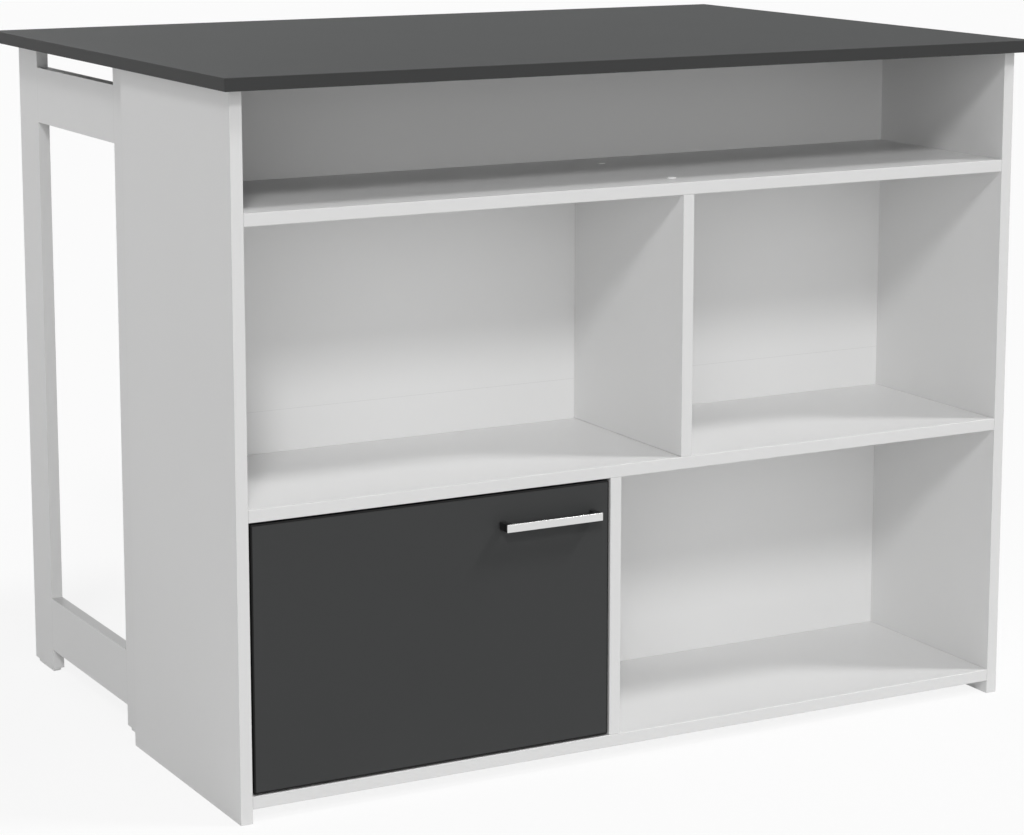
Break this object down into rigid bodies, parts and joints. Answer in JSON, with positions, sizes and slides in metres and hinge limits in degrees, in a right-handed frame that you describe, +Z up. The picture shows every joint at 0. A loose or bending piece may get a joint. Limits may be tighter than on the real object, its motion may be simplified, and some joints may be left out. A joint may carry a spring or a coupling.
{
  "type": "kitchen island unit",
  "caption": "Free-standing kitchen island with open shelves and a hinged cupboard door on one side and an open-framed bar overhang on the other, under a thin worktop.",
  "frame": {"origin": "on the floor under the middle of the worktop", "axes": "+X to the right as seen from the shelving side, +Y from the shelving side to the bar side, +Z up"},
  "size_m": [1.158, 0.817, 0.9],
  "materials": {
    "dark_laminate": "matte laminate",
    "dark_board": "matte melamine",
    "white_board": "satin melamine",
    "handle_black": "satin",
    "handle_metal": "brushed",
    "hinge_steel": "nickel plated",
    "bracket_steel": "zinc plated",
    "screw_steel": "zinc plated",
    "zinc": "die cast",
    "dowel_wood": "bare beech",
    "white_plastic": "matte",
    "glide_plastic": "matte"
  },
  "bodies": {
    "cabinet": {"back_cam_bolts": "screw_steel", "back_cams": "zinc", "bottom_shelf": "white_board", "bracket_screws": "screw_steel", "cam_caps": "white_plastic", "divider_cam_bolts": "screw_steel", "divider_cams": "zinc", "divider_dowel": "dowel_wood", "divider_screws": "screw_steel", "door_stop": "white_plastic", "door_stop_screw": "screw_steel", "floor_glides": "glide_plastic", "frame_dowels": "dowel_wood", "hinge_adjusting_screws": "screw_steel", "hinge_plate_screws": "screw_steel", "left_bottom_rail": "white_board", "left_inner_leg": "white_board", "left_outer_leg": "white_board", "left_side_panel": "white_board", "left_top_rail": "white_board", "leg_screws": "screw_steel", "lower_back_panel": "white_board", "lower_divider": "white_board", "lower_hinge_arm": "hinge_steel", "lower_hinge_plate": "hinge_steel", "middle_shelf": "white_board", "right_bottom_rail": "white_board", "right_inner_leg": "white_board", "right_outer_leg": "white_board", "right_side_panel": "white_board", "right_top_rail": "white_board", "screw_caps": "white_plastic", "seam_dowels": "dowel_wood", "shelf_cam_bolts": "screw_steel", "shelf_cams": "zinc", "shelf_dowels": "dowel_wood", "top_brackets": "bracket_steel", "top_dowels": "dowel_wood", "upper_back_panel": "white_board", "upper_divider": "white_board", "upper_hinge_arm": "hinge_steel", "upper_hinge_plate": "hinge_steel", "upper_shelf": "white_board", "worktop": "dark_laminate"},
    "door": {"door_panel": "dark_board", "lower_hinge_cup": "hinge_steel", "upper_hinge_cup": "hinge_steel", "hinge_pins": "hinge_steel", "hinge_cup_screws": "screw_steel", "handle_bar": "handle_black", "handle_face": "handle_metal", "handle_screws": "screw_steel"}
  },
  "joints": [
    {"name": "door_hinge", "type": "hinge", "parent": "cabinet", "child": "door", "pos_m": [-0.5315, -0.3789, 0.2025], "axis": [0, 0, -1], "range_deg": [0, 105]}
  ]
}
